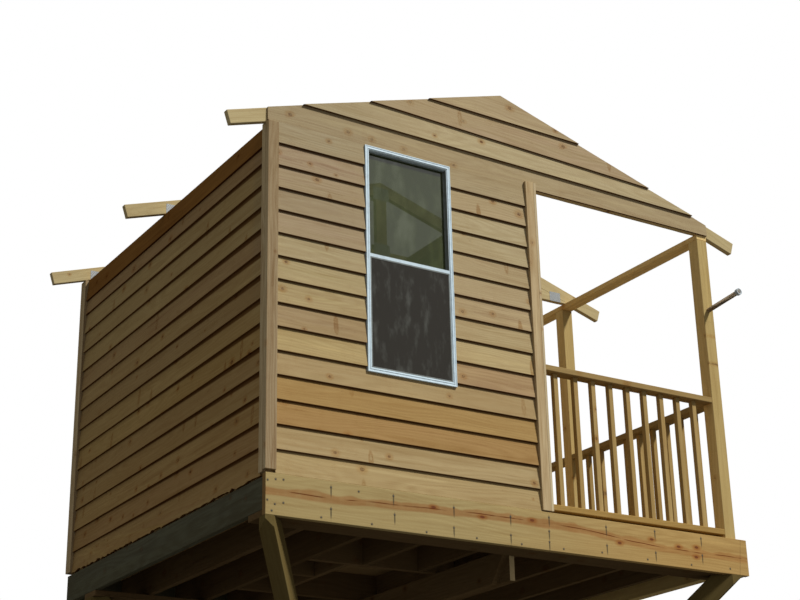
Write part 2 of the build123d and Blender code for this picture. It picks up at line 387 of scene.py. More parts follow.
def grain(finish, tones, knot_colour, knot_share=0.45, streak=0.55, ring=0.3, silver=0.0, scars=False):
    """Colour and height of sawn softwood: growth rings, fibre streaks, knots and a tone for each board."""
    middle, run, flat = (finish.attribute(name) for name in ("middle", "run", "flat"))
    chance = finish.node("ShaderNodeTexWhiteNoise", {"noise_dimensions": "3D"}, {"Vector": middle}, out=1)
    luck = finish.node("ShaderNodeTexWhiteNoise", {"noise_dimensions": "3D"}, {"Vector": middle}, out=0)
    local = finish.vector("SUBTRACT", finish.place(), middle)
    along = finish.dot(local, run)
    sideways = finish.dot(local, finish.vector("CROSS_PRODUCT", run, flat))
    across = finish.vector("SUBTRACT", local, finish.scaled(run, along))
    moved = finish.scaled(chance, 5.0)

    def drawn(by):
        stretched = finish.vector("ADD", across, finish.scaled(run, along * by))
        return finish.vector("ADD", stretched, moved)

    def on_sheet(lengthways, widthways):
        sheet = finish.node("ShaderNodeCombineXYZ", values={0: along * lengthways, 1: sideways * widthways})
        return finish.vector("ADD", sheet, moved)

    fibre, slow = drawn(0.045), drawn(0.2)
    sway = finish.speckle(slow, 5.0, 1.0)
    off_centre = finish.scaled(finish.vector("SUBTRACT", chance, (0.5, 0.5, 0.5)), 0.16)
    radius = finish.vector("LENGTH", finish.vector("ADD", across, off_centre), out="Value") + sway * 0.14
    rings = (radius * 430.0).wave() * 0.5 + 0.5
    broad = finish.speckle(fibre, 26.0, 3.0, 0.6)
    narrow = finish.speckle(fibre, 64.0, 2.0, 0.6)
    fine = finish.speckle(fibre, 150.0, 3.0, 0.65)
    patch = finish.speckle(slow, 3.2, 2.0)
    tone = finish.node("ShaderNodeValToRGB", {"stops": tones}, {"Fac": luck * 0.86 + broad * 0.14})
    dark = finish.vector("MULTIPLY", tone, (0.62, 0.52, 0.42))
    light = finish.vector("MULTIPLY", tone, (1.12, 1.12, 1.08))
    colour = finish.blend(rings * ring, tone, dark)
    colour = finish.shade(patch.within(0.42, 0.68) * 0.6, colour, (0.86, 0.80, 0.72))
    colour = finish.blend(broad.within(0.52, 0.72) * streak, colour, dark)
    colour = finish.blend(broad.within(0.45, 0.28) * streak * 1.4, colour, light)
    colour = finish.blend(narrow.within(0.54, 0.74) * streak * 0.8, colour, dark)
    colour = finish.blend(fine.within(0.50, 0.78) * 0.45, colour, dark)
    knot_point = on_sheet(0.8, 1.0)
    pick = finish.axes(finish.cells(knot_point, 6.2, 1))
    kept = pick[0].within(knot_share - 0.01, knot_share)
    distance = finish.cells(knot_point, 6.2, 0) + (broad - 0.5) * 0.012
    distance = distance / (pick[1] * 0.009 + 0.005)
    core = distance.within(1.1, 0.6) * kept
    colour = finish.shade(distance.within(3.2, 1.2) * kept * 0.75, colour, (0.80, 0.60, 0.42))
    colour = finish.blend(core * 0.85, colour, knot_colour)
    if scars:
        chance_depth = broad.within(0.35, 0.6)
        scar_point = on_sheet(1.0, 0.26)
        near = finish.cells(scar_point, 3.9, 0) + (narrow - 0.5) * 0.008
        shown = finish.axes(finish.cells(scar_point, 3.9, 1))[2].within(0.28, 0.29)
        scar = (near.within(0.020, 0.013) - near.within(0.011, 0.004) * (chance_depth * 0.8)) * shown
        colour = finish.shade(scar * 0.9, colour, (0.70, 0.55, 0.42))
    if silver:
        weather = finish.speckle(fibre, 9.0, 3.0, 0.6).within(0.35, 0.65)
        colour = finish.blend(weather * silver, colour, paint(92, 93, 84))
    height = rings * 0.25 + fine * 0.6 + broad * 0.5 - core * 0.6
    return colour, height, fine


def timber(name, tones, knot_colour=paint(92, 58, 34), **habits):
    """A sawn softwood finish."""
    finish = Finish(name)
    colour, height, fine = grain(finish, tones, knot_colour, **habits)
    return finish.dry_wood(colour, height, fine, 0.78, strength=0.6)


def tones(*colours):
    """Colour stops spread evenly over the boards' luck."""
    last = len(colours) - 1
    return [(k / last, paint(*colour)) for k, colour in enumerate(colours)]


def siding_finish():
    """Cedar boards, warmer towards the ground, with painted shade under each lap, on the boards' undersides
    and on the side walls.
    """
    finish = Finish("cedar_boards")
    boards = tones((156, 135, 107), (174, 158, 122), (186, 170, 128), (168, 144, 114), (180, 164, 120),
                   (162, 140, 110))
    colour, height, fine = grain(finish, boards, paint(96, 62, 40), knot_share=0.66, scars=True)
    middle = finish.attribute("middle")
    level = finish.axes(middle)[2]
    up = finish.axes(finish.vector("SUBTRACT", finish.place(), middle))[2]
    front = finish.axes(middle)[1].within(-1.2, -1.3)
    orange = level.within(0.58, 0.61) * level.within(0.88, 0.86) * front
    colour = finish.shade(level.within(1.9, 0.9), colour, (1.0, 0.94, 0.84))
    colour = finish.shade(orange, colour, (0.90, 0.78, 0.62))
    x, y, z = finish.axes(finish.place())
    face = y.within(-1.2, -1.3)
    colour = finish.shade(z.within(0.9, 1.8) * face, colour, (0.985, 1.0, 1.05))
    colour = finish.shade(z.within(1.0, 1.9) * x.within(-0.6, -1.3) * face, colour, (0.92, 0.93, 0.95))
    lapped = level.within(2.33, 2.30)
    # Painted shade: a dark band just under each lap, where the board above shades the one below.
    colour = finish.shade(up.within(0.044, 0.058) * lapped * 0.9, colour, (0.30, 0.19, 0.12))
    # Painted shade: faces turned downward are darkened.
    painted_underside_shade = finish.facing(2).within(-0.5, -0.8)
    colour = finish.shade(painted_underside_shade, colour, (0.40, 0.24, 0.14))
    # Painted shade: boards of the side walls, whose grain runs front to back, are darkened.
    side = abs(finish.axes(finish.attribute("run"))[1])
    colour = finish.shade(side, colour, (0.84, 0.76, 0.63))
    # Painted shade: the top board of each side wall, under the roof, is darkened further.
    colour = finish.shade(side * level.within(2.31, 2.34), colour, (0.62, 0.42, 0.26))
    return finish.dry_wood(colour, height, fine, 0.78, 0.0018, 0.6)


# Nails of the front board in house metres: along the front and up
STREAKED_NAILS = (
    (0.408, 0.198), (0.407, 0.075), (0.814, 0.199), (0.820, 0.091), (1.225, 0.180), (1.221, 0.061),
    (1.627, 0.175), (1.624, 0.062), (1.912, 0.202), (1.908, 0.117), (1.906, 0.052), (2.348, 0.193),
    (2.346, 0.077), (2.737, 0.209), (2.733, 0.073), (3.120, 0.205), (3.119, 0.096),
)
PLAIN_NAILS = (
    (0.013, 0.191), (0.012, 0.080), (0.062, 0.200), (0.110, 0.203), (0.058, 0.061), (0.110, 0.074),
    (0.039, 0.023), (0.586, 0.196), (0.345, 0.021), (0.669, 0.020), (1.032, 0.015), (1.379, 0.018),
    (1.700, 0.017), (2.011, 0.021), (2.304, 0.030), (2.663, 0.024), (3.021, 0.026), (3.349, 0.033),
)
HEART_KNOTS = (
    (1.084, 0.166), (1.424, 0.148), (1.785, 0.170), (2.708, 0.155), (2.925, 0.132), (3.075, 0.143),
    (3.067, 0.079), (2.447, 0.104),
)


def nearest(finish, stretch, places):
    """How far the nearest of some places on the front is, with the distances stretched."""
    point = finish.vector("MULTIPLY", finish.place(), (stretch[0], 0, stretch[1]))
    found = None
    for x, z in places:
        spot = ((CORNER.x + x) * stretch[0], 0, (CORNER.z + z) * stretch[1])
        gap = finish.vector("DISTANCE", point, spot, out="Value")
        found = gap if found is None else found.least(gap)
    return found


def front_board_finish():
    """Treated pine with a streak of red heartwood and its knots, and nail stains."""
    finish = Finish("front_board_pine")
    boards = tones((166, 148, 102), (174, 155, 108), (168, 150, 104))
    colour, height, fine = grain(finish, boards, paint(104, 66, 42), knot_share=0.93, ring=0.32, streak=0.6)
    x, y, z = finish.axes(finish.place())
    front = y.within(CORNER.y + 0.004, CORNER.y + 0.002)
    # Painted shade: the board's end that faces left is darkened.
    end = finish.facing(0).within(-0.8, -0.95)
    colour = finish.shade(end, colour, (0.66, 0.55, 0.50))
    # Warmer and lighter towards the right: partly the board's own tone, partly painted sunlight.
    colour = finish.shade(x.within(-0.6, 1.4), colour, (1.14, 0.97, 0.80))
    long_way = finish.vector("MULTIPLY", finish.place(), (1.0, 1.0, 0.25))
    sway = finish.speckle(long_way, 3.5, 3.0, 0.6)
    swell = finish.speckle(long_way, 7.0, 2.0)
    line = x.within(-1.54, -0.14) * 0.030 - x.within(0.16, 1.16) * 0.055 + (CORNER.z + 0.132)
    offset = z - line - (sway - 0.5) * 0.034
    band = (abs(offset) / (swell * 0.030 + 0.008)).within(1.35, 0.75) * front
    band = band * (finish.speckle(long_way, 16.0, 3.0, 0.7).within(0.25, 0.60) * 0.25 + 0.75)
    colour = finish.shade(band * (x.within(1.2, 0.2) * 0.35 + 0.6), colour, (0.82, 0.60, 0.52))
    vein = abs(offset + (swell - 0.5) * 0.022 - 0.004).within(0.0042, 0.0014) * front
    colour = finish.shade(vein * sway.within(0.42, 0.56), colour, (0.42, 0.24, 0.20))
    knot = nearest(finish, (0.5, 1.0), HEART_KNOTS) + (fine - 0.5) * 0.006
    colour = finish.shade(knot.within(0.026, 0.010) * front * 0.8, colour, (0.80, 0.56, 0.42))
    colour = finish.blend(knot.within(0.010, 0.006) * front * 0.85, colour, paint(104, 58, 40))
    runs = [(x_place, z_place - 0.022) for x_place, z_place in STREAKED_NAILS]
    stain = nearest(finish, (1.0, 0.15), runs) + (fine - 0.5) * 0.003
    colour = finish.blend(stain.within(0.0072, 0.0024) * front * 0.75, colour, paint(62, 60, 50))
    around = nearest(finish, (1.0, 1.0), STREAKED_NAILS + PLAIN_NAILS).within(0.012, 0.004)
    colour = finish.blend(around * front * 0.5, colour, paint(74, 68, 54))
    score = abs(x - (z - CORNER.z - 0.029) * 0.13 - (CORNER.x + 3.434)).within(0.0022, 0.0008)
    colour = finish.blend(score * front * 0.6, colour, paint(84, 62, 44))
    return finish.dry_wood(colour, height, fine)


def rail_finish():
    """Rails and balusters: the top rail greyer and the bottom rail more orange."""
    finish = Finish("rail_pine")
    boards = tones((166, 142, 92), (182, 156, 104), (158, 134, 84), (176, 146, 92))
    colour, height, fine = grain(finish, boards, paint(92, 58, 34), knot_share=0.7)
    level = finish.axes(finish.attribute("middle"))[2]
    colour = finish.shade(level.within(1.10, 1.20), colour, (0.92, 0.95, 1.05))
    colour = finish.shade(level.within(0.42, 0.36), colour, (0.92, 0.84, 0.68))
    return finish.dry_wood(colour, height, fine)


def corner_finish():
    """Corner boards with strong grain and a little silver, lightened where they face left as painted light.
    """
    finish = Finish("cedar_corner_boards")
    boards = tones((158, 139, 108), (172, 152, 118), (164, 144, 112))
    colour, height, fine = grain(finish, boards, paint(92, 58, 34), silver=0.12, streak=1.25, ring=0.6)
    # Painted light: faces turned to the left are lightened.
    left = finish.facing(0).within(-0.8, -0.95)
    colour = finish.shade(left, colour, (1.42, 1.50, 1.52))
    return finish.dry_wood(colour, height, fine, 0.78, strength=0.6)


def porch_corner_finish():
    """Corner boards beside the porch, in paler tones as painted sunlight, the outer one of each pair paler
    still as a painted highlight.
    """
    finish = Finish("porch_corner_boards")
    boards = tones((184, 163, 124), (198, 177, 138), (190, 169, 130))
    colour, height, fine = grain(finish, boards, paint(104, 66, 42), knot_share=0.5, streak=0.9, ring=0.4)
    # Painted highlight: the outer board of each pair is lightened.
    outer = finish.axes(finish.place())[0].within(CORNER.x + 1.9305, CORNER.x + 1.9320)
    colour = finish.shade(outer, colour, (1.10, 1.18, 1.30))
    return finish.dry_wood(colour, height, fine)


def post_finish():
    """Treated posts, lightened where they face left as painted light."""
    finish = Finish("post_pine")
    boards = tones((186, 164, 110), (198, 176, 120), (178, 154, 100))
    colour, height, fine = grain(finish, boards, paint(92, 58, 34), knot_share=0.75)
    # Painted light: faces turned to the left are lightened.
    left = finish.facing(0).within(-0.8, -0.95)
    colour = finish.shade(left, colour, (1.5, 1.5, 1.55))
    return finish.dry_wood(colour, height, fine, 0.78, strength=0.6)


def beam_finish():
    """The carrier beam: dark sides, with ends lightened as painted sunlight."""
    finish = Finish("beam_pine")
    boards = tones((96, 78, 52), (108, 88, 60))
    colour, height, fine = grain(finish, boards, paint(72, 46, 28), knot_share=0.7)
    # Painted sunlight: the faces at the beam's ends are lightened.
    ends = abs(finish.facing(1)).within(0.85, 0.95)
    colour = finish.blend(ends * (0.95 - fine * 0.3), colour, paint(214, 192, 146))
    return finish.dry_wood(colour, height, fine)


cedar = siding_finish()
front_board_wood = front_board_finish()
rail_wood = rail_finish()
cedar_trim = corner_finish()
pale_trim = porch_corner_finish()
post_wood = post_finish()
treated = timber("treated_pine", tones((186, 164, 110), (198, 176, 120), (178, 154, 100)), knot_share=0.6)
# The braces' tones are darker than the posts' treated pine, as painted shade.
brace_wood = timber("brace_pine", tones((100, 87, 53), (110, 96, 59)), knot_share=0.65)
tail_tones = tones((190, 175, 132), (200, 185, 142), (182, 165, 122))
truss_wood = timber("truss_pine", tail_tones, knot_share=0.75, streak=0.4)
# The porch plate's tones are lightened as painted light, for its shaded faces.
plate_wood = timber("porch_plate_pine", tones((236, 206, 140), (242, 214, 150)), knot_share=0.6)
stud_wood = timber("stud_pine", tones((192, 166, 118), (202, 178, 130), (184, 156, 108)), knot_share=0.7)
rough_wood = timber("framing_pine", tones((96, 78, 52), (112, 92, 64), (84, 68, 46)), knot_share=0.7)
beam_wood = beam_finish()
floor_wood = timber("floor_sheet", tones((166, 140, 98), (152, 126, 88)), knot_share=0.6, ring=0.5)
grey_wood = timber("weathered_pine", tones((88, 87, 68), (100, 99, 79)), silver=0.3, streak=1.5, ring=0.7)
# The peg's tones are lightened as painted light, for its shaded underside.
peg_wood = timber("peg_wood", tones((226, 204, 172), (218, 195, 162)), knot_share=0.2, streak=0.4)


# Siding: each board is thick at its lower edge and laps over the one below

# Thickness of a board that lies flush with the one above or below it
FLUSH = 0.0138


def lap_board(start, end, low, high, butt=0.023, head=0.006, seat=0.008, falls=(0.0, 0.0)):
    """One bevelled board of a wall that faces the front, outward being towards -Y from the studs.

    Its lower and upper edges may fall towards the right."""
    board = block("lap_board", (start, -butt, low), (end, 0, high))
    shake = random.uniform(-0.0012, 0.0012)
    nudge(board, lambda v: v.co.y > -0.001 and v.co.z < low + 0.001, (0, -seat, 0))
    nudge(board, lambda v: v.co.y < -butt + 0.001 and v.co.z > high - 0.001, (0, butt - head, 0))
    if butt > 0.02:
        choose(board, "EDGE", lambda e: all(
            board.data.vertices[i].co.y < -butt + 0.001 and board.data.vertices[i].co.z < low + 0.003
            for i in e.vertices))
        bpy.ops.mesh.bevel(offset=0.002, segments=2, affect="EDGES")
        close()
    nudge(board, lambda v: v.co.z < low + 0.005 and v.co.x > end - 0.001, (0, 0, shake - falls[0]))
    if falls[1]:
        nudge(board, lambda v: v.co.z > high - 0.001 and v.co.x > end - 0.001, (0, 0, -falls[1]))
    return board


def lap_courses(laps, top, overlap=0.025):
    """Lower and upper edges of the boards between the lap lines and the top."""
    edges = list(laps) + [top]
    return [(a, min(b + overlap, top)) for a, b in zip(edges, edges[1:])]


def reach(board, axis):
    """The lowest and highest place of a board on one axis."""
    places = [v.co[axis] for v in board.data.vertices]
    return min(places), max(places)


def ragged(wall, low, columns=96):
    """Leaves the torn edge of a rough saw cut along the bottom of a wall that faces left."""
    corners = wall.data.vertices
    choose(wall, "EDGE", lambda e: all(corners[i].co.z < low + 0.004 for i in e.vertices)
           and (corners[e.vertices[0]].co - corners[e.vertices[1]].co).length > 1)
    bpy.ops.mesh.subdivide(number_cuts=columns - 1)
    close()
    start, end = reach(wall, 1)
    for step in (-0.004, 0.003, 0.004, -0.002, 0.006):
        torn = random.sample(range(2, columns - 1), 26)

        def hit(v):
            return v.co.z < low + 0.03 and round((v.co.y - start) / (end - start) * columns) in torn

        nudge(wall, hit, (step * 0.1, 0, step))


LAPS = [LAP_BOTTOM + EXPOSURE * k for k in range(15)]
FRONT_LAPS = [0.236] + LAPS[1:]
# The corner boards' width on the side walls, on the left of the gable ends, and where the right ones start
TRIM_LEFT = 0.076
TRIM_FACE = 0.064
TRIM_RIGHT = CABIN_WIDTH - TRIM_LEFT
# Gable boards: lower and upper edge at the left, and how far each falls to the right
GABLE_BOARDS = ((2.5545, 2.7504, 0.043, 0.107), (2.7254, 2.8848, 0.107, 0.052), (2.8598, 3.070, 0.052, 0.052))


def gable_boards(start, end):
    """The boards above the plate, the first one flush with the wall below it."""
    boards = [lap_board(start, end, PLATE_LEVEL + 0.0001, 2.585, butt=FLUSH, seat=0.0, falls=(0.0, 0.05))]
    for low, high, low_fall, high_fall in GABLE_BOARDS:
        boards.append(lap_board(start, end, low, high, falls=(low_fall, high_fall)))
    for board in boards:
        for side in (-1, 1):
            cut_off(board, (RIDGE, 0, PEAK), Vector((side * SLOPE, 0, 1)).normalized())
    return boards


def gabled_wall(name, corner, mirrored, with_window):
    """A gable end's boards from the floor to the roof line, laid out as seen on the front."""
    courses = lap_courses(FRONT_LAPS, PLATE_LEVEL)
    boards = [lap_board(TRIM_FACE, TRIM_RIGHT, *edges) for edges in courses[:-1]]
    boards.append(lap_board(TRIM_FACE, TRIM_RIGHT, *courses[-1], head=FLUSH))
    boards += gable_boards(0.0, POST_RIGHT)
    if with_window:
        low = (WINDOW_LOW.x - 0.003, -PAST, WINDOW_LOW.z)
        high = (WINDOW_HIGH.x + 0.003, PAST, WINDOW_HIGH.z + 0.0025)
        for board in boards:
            bottom, top = reach(board, 2)
            if top > low[2] and bottom < high[2]:
                cut_out(board, low, high)
    # The heads of the corner boards beside the porch stand in front of the gable's boards
    for board in boards:
        if reach(board, 0)[1] > CABIN_WIDTH:
            cut_out(board, (TRIM_RIGHT, -PAST, 2.3), (CABIN_WIDTH + 0.006, PAST, PLATE_LEVEL + 0.038))
    wall = join(name, boards)
    if mirrored:
        only(wall)
        wall.scale = (1, -1, 1)
        bpy.ops.object.transform_apply(location=False, rotation=False, scale=True)
        whole(wall)
        bpy.ops.mesh.flip_normals()
        close()
    settle(wall, 0, corner)
    return mark_grain(wall)


front_wall = gabled_wall("front_lap_siding", CORNER + Vector((0, STUD_FACE, 0)), False, True)
hand_over(front_wall, cedar, "cedar_siding", "front_siding", "front_gable_siding")
back_wall = gabled_wall("back_lap_siding", CORNER + Vector((0, DEPTH - STUD_FACE, 0)), True, False)
hand_over(back_wall, cedar, "cedar_siding", "back_siding", "back_gable_siding")


# How far each lap line of the left wall rises towards the front
LEFT_RISES = (
    0, 0.020, 0.021, 0.032, 0.033, 0.035, 0.037, 0.042, 0.043, 0.042, 0.043, 0.038, 0.032, 0.030, 0.031, 0,
)
LEVEL = (0,) * len(LEFT_RISES)


def side_wall(name, turn, corner, laps, top, rises=LEVEL, doorway=None):
    """A side wall's boards, laid out as seen from outside."""
    boards = [
        lap_board(TRIM_LEFT, DEPTH - TRIM_LEFT, *edges, falls=(-rises[k], -rises[k + 1]))
        for k, edges in enumerate(lap_courses(laps, top))
    ]
    if doorway:
        for board in boards:
            cut_out(board, *doorway)
    wall = join(name, boards)
    settle(wall, turn, corner)
    mark_grain(wall)
    # Only the left wall, which has no doorway, is torn along its lower edge
    if not doorway:
        ragged(wall, corner.z + laps[0])
    return wall


left_corner = CORNER + Vector((STUD_FACE, DEPTH, 0))
left_wall = side_wall("left_lap_siding", -math.pi / 2, left_corner, LAPS[:14] + [2.215], 2.382, LEFT_RISES)
hand_over(left_wall, cedar, "cedar_siding", "left_siding")
door = ((1.900, -PAST, 0.2), (2.660, PAST, 2.215))
right_corner = CORNER + Vector((CABIN_WIDTH - STUD_FACE, 0, 0))
right_wall = side_wall("right_lap_siding", math.pi / 2, right_corner, FRONT_LAPS, PLATE_LEVEL, doorway=door)
hand_over(right_wall, cedar, "cedar_siding", "right_siding")


# Corner boards: on the left the end wall's board covers the side wall's, on the right it stops behind it

def corner_boards(name, node, end_side, side_side):
    """The boards of one corner, at the front (-1) or back (1) and on the left (-1) or right (1)."""
    low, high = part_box(node)
    thick, joint = 0.034, 0.0006
    lap = 0.019 if side_side > 0 else 0.0
    near, far = (low.y, low.y + thick) if end_side < 0 else (high.y - thick, high.y)
    foot = low.z + (0.018 if (end_side, side_side) == (-1, -1) else 0.007)
    right_end = high.x - (lap + joint if lap else TRIM_LEFT - TRIM_FACE)
    pieces = [block(name, (low.x, near, foot), (right_end, far, high.z))]
    foot = low.z + 0.007
    beside = (far + joint, high.y) if end_side < 0 else (low.y, near - joint)
    if lap:
        pieces.append(block(name, (high.x - lap, low.y, foot), (high.x, high.y, high.z)))
        pieces.append(block(name, (high.x - thick, beside[0], foot), (right_end, beside[1], high.z)))
    else:
        pieces.append(block(name, (low.x, beside[0], foot), (low.x + thick, beside[1], high.z)))
    for piece in pieces:
        ease(piece, 0.002)
    return mark_grain(join(name, pieces))


for name, node, end_side, side_side, finish in (
    ("front_left_corner_boards", "front_left_trim", -1, -1, cedar_trim),
    ("back_left_corner_boards", "back_left_trim", 1, -1, cedar_trim),
    ("front_right_corner_boards", "front_right_trim", -1, 1, pale_trim),
    ("back_right_corner_boards", "back_right_trim", 1, 1, pale_trim),
):
    hand_over(corner_boards(name, node, end_side, side_side), finish, "cedar_trim", node)


# Platform, wall frames, trusses and peg with eased edges

for name, node, width, finish, slot in (
    ("front_board", "front_fascia", 0.003, front_board_wood, "treated_board"),
    ("right_rim_board", "right_rim", 0.003, treated, "treated_board"),
    ("left_rim_board", "left_rim", 0.003, grey_wood, "weathered_board"),
    ("back_rim_board", "back_rim", 0.003, grey_wood, "weathered_board"),
    ("joists", "floor_joists", 0.003, rough_wood, "framing_timber"),
    ("headers", "trunk_headers", 0.003, rough_wood, "framing_timber"),
    ("trimmer", "trunk_trimmer", 0.003, rough_wood, "framing_timber"),
    ("blocking", "trunk_blocking", 0.003, rough_wood, "framing_timber"),
    ("bearers", "floor_bearers", 0.003, rough_wood, "framing_timber"),
    ("beam", "carrier_beam", 0.003, beam_wood, "framing_timber"),
    ("front_plates", "front_wall_plates", 0.003, stud_wood, "stud_timber"),
    ("front_studs", "front_wall_studs", 0.003, stud_wood, "stud_timber"),
    ("back_plates", "back_wall_plates", 0.003, stud_wood, "stud_timber"),
    ("back_studs", "back_wall_studs", 0.003, stud_wood, "stud_timber"),
    ("left_plates", "left_wall_plates", 0.003, stud_wood, "stud_timber"),
    ("left_studs", "left_wall_studs", 0.003, stud_wood, "stud_timber"),
    ("right_plates", "right_wall_plates", 0.003, stud_wood, "stud_timber"),
    ("right_studs", "right_wall_studs", 0.003, stud_wood, "stud_timber"),
    ("left_chords", "truss_left_chords", 0.003, truss_wood, "truss_timber"),
    ("right_chords", "truss_right_chords", 0.003, truss_wood, "truss_timber"),
    ("ties", "truss_ties", 0.003, truss_wood, "truss_timber"),
    ("king_posts", "truss_king_posts", 0.003, truss_wood, "truss_timber"),
    ("peg", "post_peg", 0.002, peg_wood, "peg_wood"),
):
    hand_over(sawn_copy(name, node, width), finish, slot, node)


# Braces: deeper than their node towards the platform, with heads cut flush with the platform's sides

BRACE_DEPTH_ADDED = 0.051
BRACE_DROP = 1.940
BRACE_HEADS = [Vector((x, y, 0)) for x in (0.025, 3.395) for y in (0.032, 2.487)]
# All braces point at one upright line, and their feet end at this radius from it
BRACE_CENTRE = Vector((1.450, 1.455, 0))
FOOT_RADIUS = 0.290


def deepen(braces, head):
    """Moves the upper side of the brace that has this head, in line with its level and its plumb cut."""
    way = BRACE_CENTRE - head
    inward = way.normalized()
    rise = BRACE_DROP / (way.length - FOOT_RADIUS)
    slant = BRACE_DEPTH_ADDED * math.hypot(1, rise)

    def upper(corner, at_head):
        place = corner - CORNER
        on_this = all((place[k] - BRACE_CENTRE[k]) * way[k] < 0 for k in (0, 1))
        above = place.z > -rise * (place - head).dot(inward)
        return on_this and above and (place.z > -BRACE_DROP / 2) == at_head

    nudge(braces, lambda v: upper(v.co, True), inward * (slant / rise))
    nudge(braces, lambda v: upper(v.co, False), (0, 0, slant))


braces = sawn_copy("braces", "knee_braces", 0.004)
for head in BRACE_HEADS:
    deepen(braces, head)
for point, outward in (
    ((0, 0, 0), (-1, 0, 0)), ((0, 0, 0), (0, -1, 0)), ((WIDTH, 0, 0), (1, 0, 0)), ((0, DEPTH, 0), (0, 1, 0)),
):
    cut_off(braces, CORNER + Vector(point), outward)
hand_over(braces, brace_wood, "treated_timber", "knee_braces")


# Porch posts and the single flat timber on them: it is half as high as its node, and the posts reach up to it

SINGLE_PLATE = 0.038
posts = sawn_copy("posts", "porch_posts", 0.004)
seat = reach(posts, 2)[1]
nudge(posts, lambda v: v.co.z > seat - 0.01, (0, 0, SINGLE_PLATE))
hand_over(posts, post_wood, "treated_timber", "porch_posts")
porch_plate = sawn_copy("porch_plate", "side_plate", 0.003)
nudge(porch_plate, lambda v: v.co.z < seat + 0.01, (0, 0, SINGLE_PLATE))
hand_over(porch_plate, plate_wood, "truss_timber", "side_plate")


# Floors: sheets laid side by side, their joints shown by the eased edges

def floor_sheets(name, node, width=1.22, gap=0.0004):
    """Sheets across the floor, with no strip narrower than 0.1 at the back."""
    low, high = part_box(node)
    joints = [low.y + width * k for k in range(1, 4) if low.y + width * k < high.y - 0.1]
    starts, ends = [low.y] + [y + gap / 2 for y in joints], [y - gap / 2 for y in joints] + [high.y]
    sheets = [ease(block(name, (low.x, a, low.z), (high.x, b, high.z)), 0.0015) for a, b in zip(starts, ends)]
    return mark_grain(join(name, sheets))


hand_over(floor_sheets("cabin_floor_sheets", "cabin_floor"), floor_wood, "floor_sheet", "cabin_floor")
hand_over(floor_sheets("porch_floor_sheets", "porch_deck"), floor_wood, "floor_sheet", "porch_deck")


# Railings: flat rails with square balusters between them

RAIL_THICK = 0.038
BALUSTER = 0.034
PITCH = 0.142
# The front railing starts with two balusters at widths of their own
FRONT_FIRST = 0.119
FRONT_SECOND = 0.158


def railing(name, node, lengthways):
    """A railing along the side of the porch, lengthways, or along its front."""
    low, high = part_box(node)
    pieces = [ease(block(name, low, (high.x, high.y, low.z + RAIL_THICK)), 0.004)]
    pieces.append(ease(block(name, (low.x, low.y, high.z - RAIL_THICK), high), 0.004))
    axis, other = (1, 0) if lengthways else (0, 1)
    if lengthways:
        first, last = low.y + PITCH, high.y - PITCH
        places = []
    else:
        places = [low.x + FRONT_FIRST]
        first, last = low.x + FRONT_FIRST + FRONT_SECOND, high.x - PITCH
    count = round((last - first) / PITCH)
    places += [first + (last - first) * k / count for k in range(count + 1)]
    centre = (low[other] + high[other]) / 2
    for place in places:
        a, b = Vector((0, 0, low.z + RAIL_THICK)), Vector((0, 0, high.z - RAIL_THICK))
        a[axis], b[axis] = place - BALUSTER / 2, place + BALUSTER / 2
        a[other], b[other] = centre - BALUSTER / 2, centre + BALUSTER / 2
        pieces.append(ease(block(name, a, b), 0.003))
    return mark_grain(join(name, pieces))


for name, node, lengthways in (
    ("front_rail", "front_railing", False),
    ("side_rail_front", "side_railing_front", True),
    ("side_rail_rear", "side_railing_rear", True),
):
    hand_over(railing(name, node, lengthways), rail_wood, "treated_timber", node)


# Window: a unit with ribbed faces, two sashes, the panes and the insect screen

def metal(name, colour, roughness, worn=0.82):
    """Painted or bare metal with dull, darker patches."""
    finish = Finish(name)
    dust = finish.speckle(finish.place(), 30.0, 3.0)
    worn_colour = paint(*[c * worn for c in colour])
    shade = finish.blend(dust.within(0.4, 0.75) * 0.6, paint(*colour), worn_colour)
    return finish.surface(shade, dust * 0.2 + roughness, dust, 0.0005, 0.2, Specular_IOR_Level=0.4)


white_metal = metal("window_aluminium", (196, 214, 222), 0.45, 0.9)
dark_seal = metal("window_seals", (112, 118, 114), 0.6)
low, high = CORNER + WINDOW_LOW, CORNER + WINDOW_HIGH
face = 0.027
meeting_rail = CORNER.z + 1.662
half_rail = 0.010
openings = ((low.z + face, meeting_rail - half_rail), (meeting_rail + half_rail, high.z - face))
unit = block("window_unit", low, high)
choose(unit, "FACE", lambda f: f.normal.y < -0.9)
# Ribs of the front from the outer edge inwards: how wide each strip is and how far it steps in or out
for width, step in (
    (0.006, 0.0), (0.0015, -0.002), (0.007, 0.0), (0.0015, 0.002), (0.005, 0.0), (0.002, -0.004),
):
    bpy.ops.mesh.inset(thickness=width, depth=step)
close()
for bottom, top in openings:
    cut_out(unit, (low.x + face, low.y - PAST, bottom), (high.x - face, high.y + PAST, top))
parts = [ease(unit, 0.0006, 1)]
for step in (0.004, 0.012, 0.020):
    rib_low = (low.x + face, low.y + 0.003 + step, high.z - face - 0.005)
    rib = block("head_rib", rib_low, (high.x - face, low.y + 0.006 + step, high.z - face + 0.002))
    parts.append(ease(rib, 0.001))
hand_over(join("window_unit", parts), white_metal, "window_metal", "window_frame")

# Dark seals line the openings: they hold the screen in front and the panes further back
seals = []
for (bottom, top), front_step in zip(openings, (0.008, 0.002)):
    seal_low = (low.x + face - 0.002, low.y + 0.0045, bottom - 0.002)
    seal = block("seal", seal_low, (high.x - face + 0.002, low.y + 0.046, top + 0.002))
    for step, back in ((front_step, low.y + 0.030), (0.008, high.y)):
        inner = (low.x + face + step, low.y - PAST, bottom + step)
        cut_out(seal, inner, (high.x - face - step, back, top - step))
    seals.append(ease(seal, 0.0005, 1))
hand_over(join("window_seals", seals), dark_seal, "window_metal")

